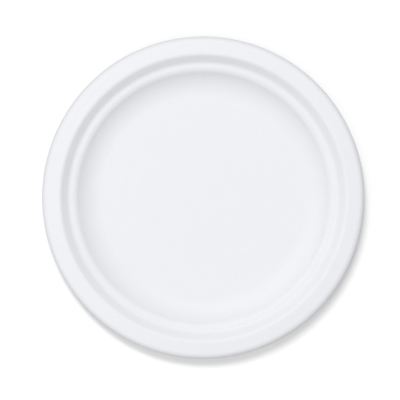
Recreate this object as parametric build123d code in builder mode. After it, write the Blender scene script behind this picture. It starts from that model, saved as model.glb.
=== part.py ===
from build123d import *

import os
from math import atan, cos, degrees, radians, sin, tan

# A round plate, hot-pressed in one piece from moulded plant fibre.
#
# It is a shell of even thickness, turned about Z. From the middle outwards, its upper
# face is a flat floor, a hollow inner wall, a ledge, a second and shorter wall, a broad
# rim that falls gently outwards, and a lip that rolls down to the trimmed edge. The plate
# stands on the flat underside of its floor, at Z = 0. The lip's edge hangs well clear of
# the table, where the fingers get under it.
#
# Millimetres and degrees. The sizes are those of the upper face, and the underside
# follows it at the wall's thickness. Slopes are from the horizontal, and widths and radii
# of the plan are between the corners that the faces would have without their rounds.

# Overall
plate_diameter = 225.0
plate_height = 17.5
wall = 0.6
# Rim, and the lip at its outside
rim_width = 13.0
rim_fall = 5.0
lip_drop = 5.0
lip_slope = 80.0
lip_radius = 4.5
trimmed_edge_radius = 0.2
# Short outer wall, from the ledge up to the rim
outer_wall_rise = 6.4
outer_wall_slope = 50.0
outer_wall_foot_radius = 3.8
rim_crest_radius = 3.0
# Ledge, of which only a hair is flat between the rounds on either side of it
ledge_flat_width = 0.25
# Inner wall, from the flat of the floor to the ledge: a hollow arc that gets steeper
# outwards, and runs straight into the round at the ledge's inside
inner_wall_width = 20.5
ledge_radius = 5.5


def rise(width, slope):
    """Height gained over a width at a slope."""
    return width * tan(radians(slope))


def width(height, slope):
    """Width that a slope needs for a height."""
    return height / tan(radians(slope))


# The rim's crest is a round, and its top is a little lower than the corner it stands for
crest_sum = radians(outer_wall_slope + rim_fall)
crest_cut = rim_crest_radius * (
    (cos(radians(outer_wall_slope)) + cos(radians(rim_fall))) / (1 + cos(crest_sum)) - 1
)

# Corners of the upper face, from the edge inwards
edge_r = plate_diameter / 2
crest_r = edge_r - rim_width
crest_z = plate_height + crest_cut
lip_r = edge_r - width(lip_drop, lip_slope)
lip_z = crest_z - rise(lip_r - crest_r, rim_fall)
foot_r = crest_r - width(outer_wall_rise, outer_wall_slope)
foot_round_r = foot_r - rise(outer_wall_foot_radius, outer_wall_slope / 2)
ledge_z = crest_z - outer_wall_rise
floor_z = wall

# Ends of the inner wall, both level, and the point where its two arcs meet. It lies on
# the line between the ends, and shares that line out as the arcs' radii.
ledge_start = Vector(foot_round_r - ledge_flat_width, ledge_z)
floor_edge = Vector(ledge_start.X - inner_wall_width, floor_z)
inner_wall_slope = 2 * degrees(atan((ledge_z - floor_z) / inner_wall_width))
arc_radii = inner_wall_width / sin(radians(inner_wall_slope))
arcs_meet = ledge_start + (floor_edge - ledge_start) * (ledge_radius / arc_radii)

with BuildPart() as plate:
    with BuildSketch(Plane.XZ):
        with BuildLine() as section:
            Line((0, floor_z), floor_edge)
            hollow = TangentArc(floor_edge, arcs_meet, tangent=(1, 0))
            TangentArc(arcs_meet, ledge_start, tangent=hollow % 1)
            FilletPolyline(
                ledge_start,
                (foot_r, ledge_z),
                (crest_r, crest_z),
                (lip_r, lip_z),
                (edge_r, lip_z - lip_drop),
                radius=[outer_wall_foot_radius, rim_crest_radius, lip_radius],
            )
            offset(section.wire(), amount=wall, side=Side.RIGHT, closed=True)
        make_face()
    revolve(axis=Axis.Z)

    # The trimming die leaves both corners of the edge a little soft
    circles = plate.edges().filter_by(GeomType.CIRCLE)
    lip_circles = circles.filter_by(lambda circle: circle.radius > lip_r)
    fillet(lip_circles.sort_by(Axis.Z)[:2], trimmed_edge_radius)

plate.part.label = "plate"

os.makedirs("parts", exist_ok=True)
export_step(plate.part, "parts/plate.step")
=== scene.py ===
import math

import bpy
from mathutils import Matrix, Vector


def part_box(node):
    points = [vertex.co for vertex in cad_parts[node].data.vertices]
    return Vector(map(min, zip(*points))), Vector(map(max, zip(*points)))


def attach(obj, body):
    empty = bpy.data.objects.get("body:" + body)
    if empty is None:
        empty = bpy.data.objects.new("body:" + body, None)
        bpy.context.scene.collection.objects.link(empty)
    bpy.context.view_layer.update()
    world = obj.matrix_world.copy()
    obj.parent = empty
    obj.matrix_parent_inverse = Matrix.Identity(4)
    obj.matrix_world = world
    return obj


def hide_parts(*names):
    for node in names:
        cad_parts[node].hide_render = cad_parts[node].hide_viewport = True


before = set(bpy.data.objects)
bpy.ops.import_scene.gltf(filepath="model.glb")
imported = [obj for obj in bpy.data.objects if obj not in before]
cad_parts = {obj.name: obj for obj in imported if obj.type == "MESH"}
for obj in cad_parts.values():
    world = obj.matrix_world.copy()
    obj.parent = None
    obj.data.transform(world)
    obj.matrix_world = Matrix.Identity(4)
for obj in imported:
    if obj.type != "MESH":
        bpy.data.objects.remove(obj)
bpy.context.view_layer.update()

millimetre = 0.001


# ---- Plate ---------------------------------------------------------------------------------
# One shell of bleached plant fibre. Wet pulp is drawn on to a mesh former, then pressed dry
# between heated dies, so its upper face is smooth and satin, and its underside keeps a faint
# print of the mesh. A die trims it round, which leaves a slightly ragged, open edge.

plate_low, plate_high = (Vector(corner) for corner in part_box("plate"))

# Sizes of the upper face in millimetres and degrees, which the underside follows at the
# wall's thickness. Widths and radii are between the corners that the rounds stand for.
plate_diameter = 225.0
plate_height = (plate_high.z - plate_low.z) / millimetre
wall = 0.6
rim_width = 13.0
rim_fall = 5.0
lip_drop = 5.0
lip_slope = 80.0
lip_radius = 4.5
trimmed_edge_radius = 0.2
outer_wall_rise = 6.4
outer_wall_slope = 50.0
outer_wall_foot_radius = 3.8
rim_crest_radius = 3.0
ledge_flat_width = 0.25
inner_wall_width = 20.5
ledge_radius = 5.5


def rise(width, slope):
    """Height gained over a width at a slope."""
    return width * math.tan(math.radians(slope))


def width(height, slope):
    """Width that a slope needs for a height."""
    return height / math.tan(math.radians(slope))


def crest_cut(radius, rising, falling):
    """How far a crest's round takes its top below the corner between its two slopes."""
    rising, falling = math.radians(rising), math.radians(falling)
    return radius * ((math.cos(rising) + math.cos(falling)) / (1 + math.cos(rising + falling)) - 1)


# Places of the upper face's corners, from the edge inwards
edge_r = plate_diameter / 2
crest_r = edge_r - rim_width
crest_z = plate_height + crest_cut(rim_crest_radius, outer_wall_slope, rim_fall)
lip_r = edge_r - width(lip_drop, lip_slope)
lip_z = crest_z - rise(lip_r - crest_r, rim_fall)
foot_r = crest_r - width(outer_wall_rise, outer_wall_slope)
foot_round_r = foot_r - rise(outer_wall_foot_radius, outer_wall_slope / 2)
ledge_z = crest_z - outer_wall_rise
ledge_start_r = foot_round_r - ledge_flat_width
floor_edge_r = ledge_start_r - inner_wall_width

# The inner wall is a hollow arc that runs straight into the round of the ledge. The arcs
# turn equally far, and the slope where they meet is set by the wall's width and height.
half_slope = math.atan((ledge_z - wall) / inner_wall_width)
hollow_radius = inner_wall_width / math.sin(2 * half_slope) - ledge_radius
hollow_corner_r = floor_edge_r + hollow_radius * math.tan(half_slope)
ledge_corner_r = ledge_start_r - ledge_radius * math.tan(half_slope)

# Each corner is its radius, its height, the radius of its round, and which way it turns:
# 1 where the upper face is hollow, and -1 where it is a crest
upper_corners = [
    (0.0, wall, 0.0, 0),
    (hollow_corner_r, wall, hollow_radius, 1),
    (ledge_corner_r, ledge_z, ledge_radius, -1),
    (foot_r, ledge_z, outer_wall_foot_radius, 1),
    (crest_r, crest_z, rim_crest_radius, -1),
    (lip_r, lip_z, lip_radius, -1),
    (edge_r, lip_z - lip_drop, trimmed_edge_radius, 0),
]


def underside_of(corners):
    """The same corners one wall's thickness down, each on the line that halves its angle."""
    places = [Vector(corner[:2]) for corner in corners]
    steps = [(b - a).normalized() for a, b in zip(places, places[1:])]
    downs = [Vector((step.y, -step.x)) for step in steps]
    below = []
    for (r, z, radius, hollow), before, after in zip(
        corners, [downs[0], *downs], [*downs, downs[-1]]
    ):
        shift = wall * (before + after) / (1 + before.dot(after))
        below.append((r + shift.x, z + shift.y, radius + wall * hollow, hollow))
    return below


def outline_mesh(name, halves):
    """A mesh of open lines in the XZ plane, one for each half section, in metres."""
    points, lines, rounds = [], [], []
    for half in halves:
        first = len(points)
        points += [(r * millimetre, 0, z * millimetre) for r, z, radius, hollow in half]
        rounds += [radius * millimetre for r, z, radius, hollow in half]
        lines += [(i, i + 1) for i in range(first, len(points) - 1)]
    mesh = bpy.data.meshes.new(name)
    mesh.from_pydata(points, lines, [])
    mesh.attributes.new("round", "FLOAT", "POINT").data.foreach_set("value", rounds)
    return mesh


# Both half sections end at one point, half way through the trimmed edge
lower_corners = underside_of(upper_corners)
mid_edge = [(a + b) / 2 for a, b in zip(upper_corners[-1][:2], lower_corners[-1][:2])]
section_halves = [half + [(*mid_edge, 0.0, 0)] for half in (upper_corners, lower_corners)]


def add_node(tree, kind, inputs=(), **settings):
    """Add a node with its settings, and fill its inputs, by place or name, with values or links."""
    node = tree.nodes.new(kind)
    for name, value in settings.items():
        setattr(node, name, value)
    for key, value in inputs.items() if isinstance(inputs, dict) else enumerate(inputs):
        if isinstance(value, bpy.types.Node):
            value = next(socket for socket in value.outputs if socket.enabled)
        if isinstance(value, bpy.types.NodeSocket):
            tree.links.new(value, node.inputs[key])
        else:
            node.inputs[key].default_value = value
    return node


def pressed_sheet_tree():
    """A tree that turns two half sections into one closed, round sheet.

    Each face is a square grid drawn out to a disc of rings, so that its middle is as even
    as the rest. A ring's radius and height are those of a point along the half section.
    """
    tree = bpy.data.node_groups.new("pressed sheet", "GeometryNodeTree")
    face = tree.interface
    face.new_socket("Half Sections", in_out="INPUT", socket_type="NodeSocketGeometry")
    for name, kind in (
        ("Round Steps", "NodeSocketInt"),
        ("Rings", "NodeSocketInt"),
        ("Floor Rings", "NodeSocketInt"),
        ("Edge Rings", "NodeSocketInt"),
        ("Floor Radius", "NodeSocketFloat"),
        ("Edge Length", "NodeSocketFloat"),
        ("Relief Height", "NodeSocketFloat"),
        ("Relief Size", "NodeSocketFloat"),
        ("Rim Wander", "NodeSocketFloat"),
        ("Wander Size", "NodeSocketFloat"),
        ("Ragged Depth", "NodeSocketFloat"),
        ("Ragged Size", "NodeSocketFloat"),
        ("Seed", "NodeSocketFloat"),
        ("Material", "NodeSocketMaterial"),
    ):
        face.new_socket(name, in_out="INPUT", socket_type=kind)
    face.new_socket("Sheet", in_out="OUTPUT", socket_type="NodeSocketGeometry")
    given = add_node(tree, "NodeGroupInput").outputs

    # Half sections, rounded at their corners
    lines = add_node(tree, "GeometryNodeMeshToCurve", [given["Half Sections"]])
    corner_round = add_node(
        tree, "GeometryNodeInputNamedAttribute", {"Name": "round"}, data_type="FLOAT"
    )
    sections = add_node(
        tree,
        "GeometryNodeFilletCurve",
        {
            "Curve": lines,
            "Count": given["Round Steps"],
            "Radius": corner_round,
            "Limit Radius": False,
        },
        mode="POLY",
    )

    # Grid of unit squares, whose square rings are numbered from its middle
    grid_size = add_node(tree, "ShaderNodeMath", [given["Rings"], 2], operation="MULTIPLY")
    grid_points = add_node(tree, "ShaderNodeMath", [grid_size, 1], operation="ADD")
    grid = add_node(
        tree, "GeometryNodeMeshGrid", [grid_size, grid_size, grid_points, grid_points]
    )
    place = add_node(tree, "GeometryNodeInputPosition")
    across = add_node(tree, "ShaderNodeSeparateXYZ", [place]).outputs
    reach_x = add_node(tree, "ShaderNodeMath", [across["X"]], operation="ABSOLUTE")
    reach_y = add_node(tree, "ShaderNodeMath", [across["Y"]], operation="ABSOLUTE")
    ring = add_node(tree, "ShaderNodeMath", [reach_x, reach_y], operation="MAXIMUM")

    # Direction from the middle: an eighth of a turn for each half side of the square ring
    along_x = add_node(tree, "ShaderNodeMath", [reach_x, reach_y], operation="GREATER_THAN")
    longer = add_node(
        tree, "GeometryNodeSwitch", [along_x, across["Y"], across["X"]], input_type="FLOAT"
    )
    shorter = add_node(
        tree, "GeometryNodeSwitch", [along_x, across["X"], across["Y"]], input_type="FLOAT"
    )
    slant = add_node(tree, "ShaderNodeMath", [shorter, longer], operation="DIVIDE")
    turn = add_node(tree, "ShaderNodeMath", [slant, math.pi / 4], operation="MULTIPLY")
    cosine = add_node(tree, "ShaderNodeMath", [turn], operation="COSINE")
    sine = add_node(tree, "ShaderNodeMath", [turn], operation="SINE")
    turned_x = add_node(tree, "ShaderNodeCombineXYZ", [cosine, sine])
    turned_y = add_node(tree, "ShaderNodeCombineXYZ", [sine, cosine])
    turned = add_node(
        tree, "GeometryNodeSwitch", [along_x, turned_y, turned_x], input_type="VECTOR"
    )
    way = add_node(tree, "ShaderNodeMath", [longer], operation="SIGN")
    direction = add_node(
        tree, "ShaderNodeVectorMath", {"Vector": turned, "Scale": way}, operation="SCALE"
    )

    # Share of the half section at each ring: widely spaced on the flat floor, closer over
    # the walls and rim, and closest round the trimmed edge
    half_length = add_node(
        tree,
        "GeometryNodeSampleIndex",
        {"Geometry": sections, "Value": add_node(tree, "GeometryNodeSplineLength"), "Index": 0},
        data_type="FLOAT",
        domain="CURVE",
    )
    floor_share = add_node(
        tree, "ShaderNodeMath", [given["Floor Radius"], half_length], operation="DIVIDE"
    )
    edge_share = add_node(
        tree, "ShaderNodeMath", [given["Edge Length"], half_length], operation="DIVIDE"
    )
    edge_from = add_node(tree, "ShaderNodeMath", [1, edge_share], operation="SUBTRACT")
    edge_ring = add_node(
        tree, "ShaderNodeMath", [given["Rings"], given["Edge Rings"]], operation="SUBTRACT"
    )
    wall_share = add_node(
        tree,
        "ShaderNodeMapRange",
        [ring, given["Floor Rings"], edge_ring, floor_share, edge_from],
    )
    floor_part = add_node(
        tree, "ShaderNodeMapRange", [ring, 0, given["Floor Rings"], 0, floor_share]
    )
    inner_share = add_node(
        tree,
        "GeometryNodeSwitch",
        [
            add_node(
                tree, "ShaderNodeMath", [ring, given["Floor Rings"]], operation="GREATER_THAN"
            ),
            floor_part,
            wall_share,
        ],
        input_type="FLOAT",
    )
    edge_part = add_node(
        tree, "ShaderNodeMapRange", [ring, edge_ring, given["Rings"], 0, edge_share]
    )
    share = add_node(tree, "ShaderNodeMath", [inner_share, edge_part], operation="ADD")
    half_depth = add_node(
        tree, "ShaderNodeMapRange", [ring, edge_ring, given["Rings"], 0, 0.5]
    )

    # One disc for each face. "depth" is 0 on the upper face, 1 on the underside, and
    # between the two round the edge. The texture map is the two flat blanks, side by side.
    discs = []
    for face_index, (depth, blank_centre, blank_size) in enumerate(
        (
            (half_depth, (0.295, 0.295, 0), (0.29, 0.29, 0)),
            (
                add_node(tree, "ShaderNodeMath", [1, half_depth], operation="SUBTRACT"),
                (0.705, 0.705, 0),
                (-0.29, 0.29, 0),
            ),
        )
    ):
        on_blank = add_node(
            tree, "ShaderNodeVectorMath", {"Vector": direction, "Scale": share}, operation="SCALE"
        )
        on_map = add_node(
            tree,
            "ShaderNodeVectorMath",
            [on_blank, blank_size, blank_centre],
            operation="MULTIPLY_ADD",
        )
        mapped = add_node(
            tree,
            "GeometryNodeStoreNamedAttribute",
            {"Geometry": grid, "Name": "OFBake", "Value": on_map},
            data_type="FLOAT2",
            domain="CORNER",
        )
        marked = add_node(
            tree,
            "GeometryNodeStoreNamedAttribute",
            {"Geometry": mapped, "Name": "depth", "Value": depth},
            data_type="FLOAT",
            domain="POINT",
        )
        on_section = add_node(
            tree,
            "GeometryNodeSampleCurve",
            {"Curves": sections, "Factor": share, "Curve Index": face_index},
            mode="FACTOR",
            data_type="FLOAT",
        )
        section_place = add_node(
            tree, "ShaderNodeSeparateXYZ", [on_section.outputs["Position"]]
        ).outputs
        outwards = add_node(
            tree,
            "ShaderNodeVectorMath",
            {"Vector": direction, "Scale": section_place["X"]},
            operation="SCALE",
        )
        upwards = add_node(tree, "ShaderNodeCombineXYZ", {"Z": section_place["Z"]})
        pressed = add_node(
            tree,
            "GeometryNodeSetPosition",
            {
                "Geometry": marked,
                "Position": add_node(
                    tree, "ShaderNodeVectorMath", [outwards, upwards], operation="ADD"
                ),
            },
        )
        discs.append(pressed)
    underside = add_node(tree, "GeometryNodeFlipFaces", [discs[1]])
    both_faces = add_node(tree, "GeometryNodeJoinGeometry", [discs[0]])
    tree.links.new(underside.outputs[0], both_faces.inputs[0])
    closed = add_node(
        tree, "GeometryNodeMergeByDistance", {"Geometry": both_faces, "Distance": 1e-6}
    )

    # Slow relief all over, as the fibre shrinks unevenly, and a rim that wanders up and down
    flat_place = add_node(
        tree, "ShaderNodeVectorMath", [place, (1, 1, 0)], operation="MULTIPLY"
    )
    from_middle = add_node(tree, "ShaderNodeVectorMath", [flat_place], operation="LENGTH")
    heights = []
    for size, height, detail in (
        (given["Relief Size"], given["Relief Height"], 2),
        (given["Wander Size"], given["Rim Wander"], 0),
    ):
        waves = add_node(
            tree,
            "ShaderNodeTexNoise",
            {
                "Vector": flat_place,
                "W": given["Seed"],
                "Scale": add_node(tree, "ShaderNodeMath", [1, size], operation="DIVIDE"),
                "Detail": detail,
            },
            noise_dimensions="4D",
        )
        even = add_node(tree, "ShaderNodeMapRange", [waves, 0, 1, -1, 1])
        heights.append(add_node(tree, "ShaderNodeMath", [even, height], operation="MULTIPLY"))
    beyond_floor = add_node(
        tree,
        "ShaderNodeMapRange",
        [from_middle, given["Floor Radius"], half_length, 0, 1],
        interpolation_type="SMOOTHSTEP",
    )
    lifted = add_node(
        tree, "ShaderNodeMath", [heights[1], beyond_floor, heights[0]], operation="MULTIPLY_ADD"
    )

    # The trimmed edge is ragged, most of all in the middle of the wall
    depth_here = add_node(
        tree, "GeometryNodeInputNamedAttribute", {"Name": "depth"}, data_type="FLOAT"
    )
    on_cut = add_node(tree, "ShaderNodeMath", [depth_here, 0.5], operation="PINGPONG")
    tufts = add_node(
        tree,
        "ShaderNodeTexNoise",
        {
            "Vector": place,
            "W": given["Seed"],
            "Scale": add_node(
                tree, "ShaderNodeMath", [1, given["Ragged Size"]], operation="DIVIDE"
            ),
            "Detail": 2,
        },
        noise_dimensions="4D",
    )
    even_tufts = add_node(tree, "ShaderNodeMapRange", [tufts, 0, 1, -2, 2])
    ragged = add_node(tree, "ShaderNodeMath", [even_tufts, on_cut], operation="MULTIPLY")
    ragged_depth = add_node(
        tree, "ShaderNodeMath", [ragged, given["Ragged Depth"]], operation="MULTIPLY"
    )
    radial = add_node(tree, "ShaderNodeVectorMath", [flat_place], operation="NORMALIZE")
    ragged_shift = add_node(
        tree, "ShaderNodeVectorMath", {"Vector": radial, "Scale": ragged_depth}, operation="SCALE"
    )
    lift = add_node(tree, "ShaderNodeCombineXYZ", {"Z": lifted})
    shift = add_node(tree, "ShaderNodeVectorMath", [ragged_shift, lift], operation="ADD")
    dried = add_node(tree, "GeometryNodeSetPosition", {"Geometry": closed, "Offset": shift})

    smooth = add_node(tree, "GeometryNodeSetShadeSmooth", {"Geometry": dried})
    real = add_node(tree, "GeometryNodeRealizeInstances", {"Geometry": smooth})
    finished = add_node(
        tree, "GeometryNodeSetMaterial", {"Geometry": real, "Material": given["Material"]}
    )
    add_node(tree, "NodeGroupOutput", [finished])
    return tree


def linear(hex_colour):
    """An sRGB hex colour as linear red, green, blue and alpha."""
    shares = [int(hex_colour[i : i + 2], 16) / 255 for i in (1, 3, 5)]
    return [s / 12.92 if s <= 0.04045 else ((s + 0.055) / 1.055) ** 2.4 for s in shares] + [1]


def moulded_fibre():
    """Bleached bagasse pulp, hot-pressed above and screen-marked below.

    Pressing irons its fibres flat, so the upper face is a cool, satin white with faint
    clouds where the pulp lay thicker. The underside is duller, and printed by the mesh of
    the former. The cut edge is the most open, with fibre ends standing out of it.
    """
    material = bpy.data.materials.new("moulded fibre")
    material.use_nodes = True
    tree = material.node_tree
    shader = tree.nodes["Principled BSDF"]
    shader.inputs["IOR"].default_value = 1.5
    shader.inputs["Specular IOR Level"].default_value = 0.5
    place = add_node(tree, "ShaderNodeTexCoord").outputs["Object"]
    depth = add_node(tree, "ShaderNodeAttribute", attribute_name="depth").outputs["Fac"]

    # How open the surface is: closed above, half open below, and fully open at the cut
    openness = add_node(tree, "ShaderNodeValToRGB", [depth])
    stops = openness.color_ramp.elements
    stops[0].color = (0, 0, 0, 1)
    stops[1].color = (0.6, 0.6, 0.6, 1)
    stops.new(0.5).color = (1, 1, 1, 1)
    open_share = openness.outputs["Color"]

    # Clouds of thicker and thinner pulp, about 14 mm across
    clouds = add_node(
        tree,
        "ShaderNodeTexNoise",
        {"Vector": place, "Scale": 1 / (14 * millimetre), "Detail": 3, "Roughness": 0.55},
    )
    # Fibres and their bundles: 1 to 2 mm long and 0.02 mm thick, and drawn as coarse as
    # shows, as crinkled ridges 1.5 mm apart
    fibres = add_node(
        tree,
        "ShaderNodeTexNoise",
        {
            "Vector": place,
            "Scale": 1 / (1.5 * millimetre),
            "Detail": 1,
            "Roughness": 0.5,
            "Distortion": 1.2,
        },
    )
    clouded = add_node(
        tree,
        "ShaderNodeMix",
        {0: clouds, 6: linear("#DCDDE1"), 7: linear("#DFE0E3")},
        data_type="RGBA",
    )
    fibre_tint = add_node(tree, "ShaderNodeMapRange", [fibres, 0.35, 0.65, 0, 0.35])
    fibred = add_node(
        tree, "ShaderNodeMix", {0: fibre_tint, 6: clouded, 7: linear("#E1E2E4")}, data_type="RGBA"
    )
    # The cut and the underside are a little creamier, as their fibres weren't scorched flat
    cream = add_node(tree, "ShaderNodeMath", [open_share, 0.4], operation="MULTIPLY")
    colour = add_node(
        tree, "ShaderNodeMix", {0: cream, 6: fibred, 7: linear("#DDDCD8")}, data_type="RGBA"
    )
    tree.links.new(colour.outputs[2], shader.inputs["Base Color"])

    # Satin where it was pressed, and duller where it wasn't
    satin = add_node(tree, "ShaderNodeMapRange", [clouds, 0.3, 0.7, 0.64, 0.7])
    dulling = add_node(tree, "ShaderNodeMath", [open_share, 0.2], operation="MULTIPLY")
    roughness = add_node(tree, "ShaderNodeMath", [satin, dulling], operation="ADD")
    tree.links.new(roughness.outputs[0], shader.inputs["Roughness"])

    # Fibre relief in millimetres: 0.003 where it was pressed, and 0.04 at the cut
    fibre_height = add_node(tree, "ShaderNodeMapRange", [open_share, 0, 1, 0.003, 0.04])
    fibre_relief = add_node(tree, "ShaderNodeMath", [fibres, fibre_height], operation="MULTIPLY")
    fibre_bump = add_node(
        tree, "ShaderNodeBump", {"Height": fibre_relief, "Strength": 1, "Distance": millimetre}
    )
    # Print of the former's wire cloth, whose wires are 0.7 mm apart, and drawn 1.8 mm apart
    # so that it shows
    wire_pitch = 1.8 * millimetre
    wires = [
        add_node(
            tree,
            "ShaderNodeTexWave",
            {"Vector": place, "Scale": math.pi / 10 / wire_pitch, "Distortion": 0},
            bands_direction=axis,
        )
        for axis in "XY"
    ]
    cloth = add_node(
        tree,
        "ShaderNodeMath",
        [wires[0].outputs["Fac"], wires[1].outputs["Fac"]],
        operation="MULTIPLY",
    )
    below = add_node(tree, "ShaderNodeMapRange", [depth, 0.6, 1, 0, 0.03])
    print_relief = add_node(tree, "ShaderNodeMath", [cloth, below], operation="MULTIPLY")
    print_bump = add_node(
        tree,
        "ShaderNodeBump",
        {"Height": print_relief, "Strength": 1, "Distance": millimetre, "Normal": fibre_bump},
    )
    tree.links.new(print_bump.outputs[0], shader.inputs["Normal"])
    return material


# The modifier's inputs are in metres
pressing = {
    "Round Steps": 24,
    "Rings": 108,
    "Floor Rings": 24,
    "Edge Rings": 4,
    "Floor Radius": floor_edge_r * millimetre,
    "Edge Length": 0.9 * millimetre,
    "Relief Height": 0.012 * millimetre,
    "Relief Size": 18 * millimetre,
    "Rim Wander": 0.3 * millimetre,
    "Wander Size": 90 * millimetre,
    "Ragged Depth": 0.12 * millimetre,
    "Ragged Size": 2.2 * millimetre,
    "Seed": 7.0,
    "Material": moulded_fibre(),
}
plate = bpy.data.objects.new(
    "pressed_plate", outline_mesh("half sections", section_halves)
)
bpy.context.scene.collection.objects.link(plate)
press = plate.modifiers.new("pressed sheet", "NODES")
press.node_group = pressed_sheet_tree()
for socket in press.node_group.interface.items_tree:
    if socket.in_out == "INPUT" and socket.name in pressing:
        press[socket.identifier] = pressing[socket.name]
plate_mesh = bpy.data.meshes.new_from_object(
    plate.evaluated_get(bpy.context.evaluated_depsgraph_get())
)
plate.modifiers.remove(press)
plate.data = plate_mesh
# The grids came with an empty material slot, ahead of the fibre's
while plate_mesh.materials[0] is None:
    plate_mesh.materials.pop(index=0)
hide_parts("plate")
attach(plate, "root")


# ---- Floor, light and camera ---------------------------------------------------------------
# A white studio table. It sits a hair below the plate's underside, and doesn't light the
# plate: what the plate sees below it is the darker lower half of the room instead.

table_size = 6.0
table_gap = 0.05 * millimetre
table_mesh = bpy.data.meshes.new("table")
half = table_size / 2
table_mesh.from_pydata(
    [(-half, -half, 0), (half, -half, 0), (half, half, 0), (-half, half, 0)],
    [],
    [(0, 1, 2, 3)],
)
table_mesh.transform(Matrix.Translation((0, 0, plate_low.z - table_gap)))
table = bpy.data.objects.new("table", table_mesh)
bpy.context.scene.collection.objects.link(table)
table.visible_diffuse = False
table.visible_glossy = False

table_paint = bpy.data.materials.new("matt white paint")
table_paint.use_nodes = True
paint_shader = table_paint.node_tree.nodes["Principled BSDF"]
paint_shader.inputs["Base Color"].default_value = linear("#F9F9F9")
paint_shader.inputs["Roughness"].default_value = 0.9
paint_shader.inputs["Specular IOR Level"].default_value = 0.1
paint_shader.inputs["Emission Color"].default_value = (1, 1, 1, 1)
paint_shader.inputs["Emission Strength"].default_value = 0.026
table_mesh.materials.append(table_paint)

# White room above, and a darker one below a level that tips a little, so that more of the
# white is seen from the plate's lower left
room = bpy.data.worlds.new("room")
room.use_nodes = True
bpy.context.scene.world = room
looking = add_node(room.node_tree, "ShaderNodeTexCoord").outputs["Generated"]
looking_up = add_node(
    room.node_tree, "ShaderNodeVectorMath", [looking, (-0.22, -0.22, 1)], operation="DOT_PRODUCT"
).outputs["Value"]
above = add_node(room.node_tree, "ShaderNodeMapRange", [looking_up, -0.02, 0.02, 0, 1])
room_colour = add_node(
    room.node_tree,
    "ShaderNodeMix",
    {0: above, 6: (0.82, 0.82, 0.82, 1), 7: (1, 1, 1, 1)},
    data_type="RGBA",
)
background = room.node_tree.nodes["Background"]
room.node_tree.links.new(room_colour.outputs[2], background.inputs["Color"])
background.inputs["Strength"].default_value = 0.714
# What shows behind the table is a white wall, which is too far off to light the plate
backdrop = add_node(room.node_tree, "ShaderNodeBackground", {"Strength": 1.0})
backdrop.inputs["Color"].default_value = (1, 1, 1, 1)
seen = add_node(room.node_tree, "ShaderNodeLightPath").outputs["Is Camera Ray"]
room_or_backdrop = add_node(room.node_tree, "ShaderNodeMixShader", [seen, background, backdrop])
room.node_tree.links.new(
    room_or_backdrop.outputs[0], room.node_tree.nodes["World Output"].inputs["Surface"]
)


def soft_light(name, azimuth, from_vertical, distance, turn, power, size, size_y=None):
    """A panel or disc that faces the plate's middle, in degrees, metres and watts."""
    panel = bpy.data.lights.new(name, "AREA")
    panel.shape = "DISK" if size_y is None else "RECTANGLE"
    panel.size = size
    panel.size_y = size if size_y is None else size_y
    panel.energy = power
    lamp = bpy.data.objects.new(name, panel)
    bpy.context.scene.collection.objects.link(lamp)
    lamp.matrix_world = (
        Matrix.Rotation(math.radians(azimuth), 4, "Z")
        @ Matrix.Rotation(math.radians(from_vertical), 4, "Y")
        @ Matrix.Translation((0, 0, distance))
        @ Matrix.Rotation(math.radians(turn), 4, "Z")
    )


soft_light(
    "key", azimuth=107.2, from_vertical=26.0, distance=2.99, turn=128.0, power=40.3,
    size=0.66, size_y=1.12,
)
soft_light("fill", azimuth=220.3, from_vertical=53.4, distance=0.86, turn=0, power=0.76, size=0.6)

# A long lens, straight down, with the plate a little right of and above the middle
picture_width = 277.8 * millimetre
picture_middle_x = -2.31 * millimetre
picture_middle_y = -1.64 * millimetre
lens = bpy.data.cameras.new("camera")
lens.sensor_width = 36
lens.lens = 150
lens.clip_end = 50
camera = bpy.data.objects.new("camera", lens)
bpy.context.scene.collection.objects.link(camera)
camera.location = (
    picture_middle_x,
    picture_middle_y,
    plate_high.z + picture_width * lens.lens / lens.sensor_width,
)
bpy.context.scene.camera = camera
bpy.context.scene.view_settings.view_transform = "Standard"
